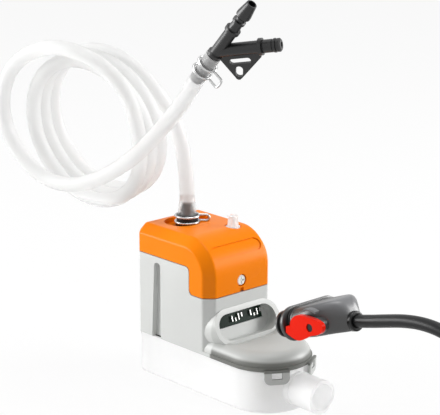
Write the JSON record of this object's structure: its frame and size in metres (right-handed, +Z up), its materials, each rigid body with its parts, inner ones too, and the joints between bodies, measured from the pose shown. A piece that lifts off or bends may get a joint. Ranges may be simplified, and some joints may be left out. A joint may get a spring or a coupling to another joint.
{
  "type": "condensate pump",
  "caption": "Condensate pump: clear tank under a tower with an orange hood, a coiled discharge hose with a Y fitting, and a lead whose flat plug enters a slanted socket.",
  "frame": {"origin": "on the tank's resting face, 5.4 mm behind the tower's front face, on the middle line", "axes": "+X along the pump from the tower towards the inlet stub, +Y across the pump, +Z up"},
  "size_m": [0.3549, 0.1816, 0.246],
  "materials": {
    "clear_plastic": "clear, lightly frosted",
    "grey_plastic": "fine spark texture",
    "orange_plastic": "satin",
    "black_plastic": "fine spark texture",
    "red_plastic": "satin",
    "white_plastic": "satin",
    "clear_hose": "clear, slightly milky",
    "black_rubber": "matt",
    "grey_cable": "satin sheath",
    "steel": "bright",
    "zinc": "zinc plated",
    "copper_winding": "enamelled wire",
    "board_green": "solder mask",
    "silver_contact": "tinned",
    "foam": "closed-cell",
    "magnet": "ferrite"
  },
  "bodies": {
    "pump": {"reservoir": "clear_plastic", "reservoir_gasket": "black_rubber", "body_shell": "grey_plastic", "top_cover": "orange_plastic", "cover_screw": "white_plastic", "vent_stub": "clear_plastic", "outlet_nozzle": "black_plastic", "nozzle_seal": "black_rubber", "nozzle_sleeve": "black_rubber", "nozzle_clip": "steel", "pump_deck": "white_plastic", "strainer": "white_plastic", "suction_tube": "white_plastic", "pump_tube": "white_plastic", "coil_bobbin": "white_plastic", "coil_winding": "copper_winding", "coil_yoke": "zinc", "lower_damper": "black_rubber", "upper_damper": "black_rubber", "control_board": "board_green", "board_parts": "black_plastic", "contact_board": "board_green", "board_contacts": "silver_contact", "level_sensor": "black_plastic", "upper_spring": "steel", "lower_spring": "steel", "hose_stem": "clear_hose", "hose_coil": "clear_hose", "hose_end": "clear_hose", "fitting_body": "black_plastic", "fitting_cap": "black_plastic", "siphon_spring": "steel", "fitting_clip": "steel"},
    "float": {"float_ring": "foam", "float_magnet": "magnet"},
    "piston": {"piston": "steel"},
    "inlet_valve": {"inlet_valve": "black_rubber"},
    "outlet_valve": {"outlet_valve": "black_rubber"},
    "siphon_valve": {"siphon_valve": "black_rubber"},
    "plug": {"plug_housing": "black_plastic", "plug_seal": "black_rubber", "plug_contacts": "black_plastic", "plug_boot": "black_rubber", "gland_ring": "black_plastic", "lever_pin": "black_plastic", "power_cable": "grey_cable", "cable_coil": "grey_cable"},
    "lever": {"lock_lever": "red_plastic"}
  },
  "joints": [
    {"name": "float_rise", "type": "slide", "parent": "pump", "child": "float", "axis": [0, 0, 1], "range_m": [0, 0.0126]},
    {"name": "piston_stroke", "type": "slide", "parent": "pump", "child": "piston", "axis": [0, 0, 1], "range_m": [-0.003, 0.003], "stiffness_N_per_m": 450, "deforming": ["lower_spring", "upper_spring"]},
    {"name": "inlet_valve_lift", "type": "slide", "parent": "pump", "child": "inlet_valve", "axis": [0, 0, 1], "range_m": [0, 0.0012]},
    {"name": "outlet_valve_lift", "type": "slide", "parent": "pump", "child": "outlet_valve", "axis": [0, 0, 1], "range_m": [0, 0.0012]},
    {"name": "siphon_valve_lift", "type": "slide", "parent": "pump", "child": "siphon_valve", "axis": [0.8599, 0.4886, 0.1477], "range_m": [0, 0.0012], "stiffness_N_per_m": 30, "deforming": ["siphon_spring"]},
    {"name": "plug_insert", "type": "slide", "parent": "pump", "child": "plug", "axis": [-0.9563, 0, -0.2924], "range_m": [0, 0.0514]},
    {"name": "lever_lock", "type": "hinge", "parent": "plug", "child": "lever", "pos_m": [0.08434, -0.0215, 0.06425], "axis": [0, 1, 0], "range_deg": [0, 15]}
  ]
}
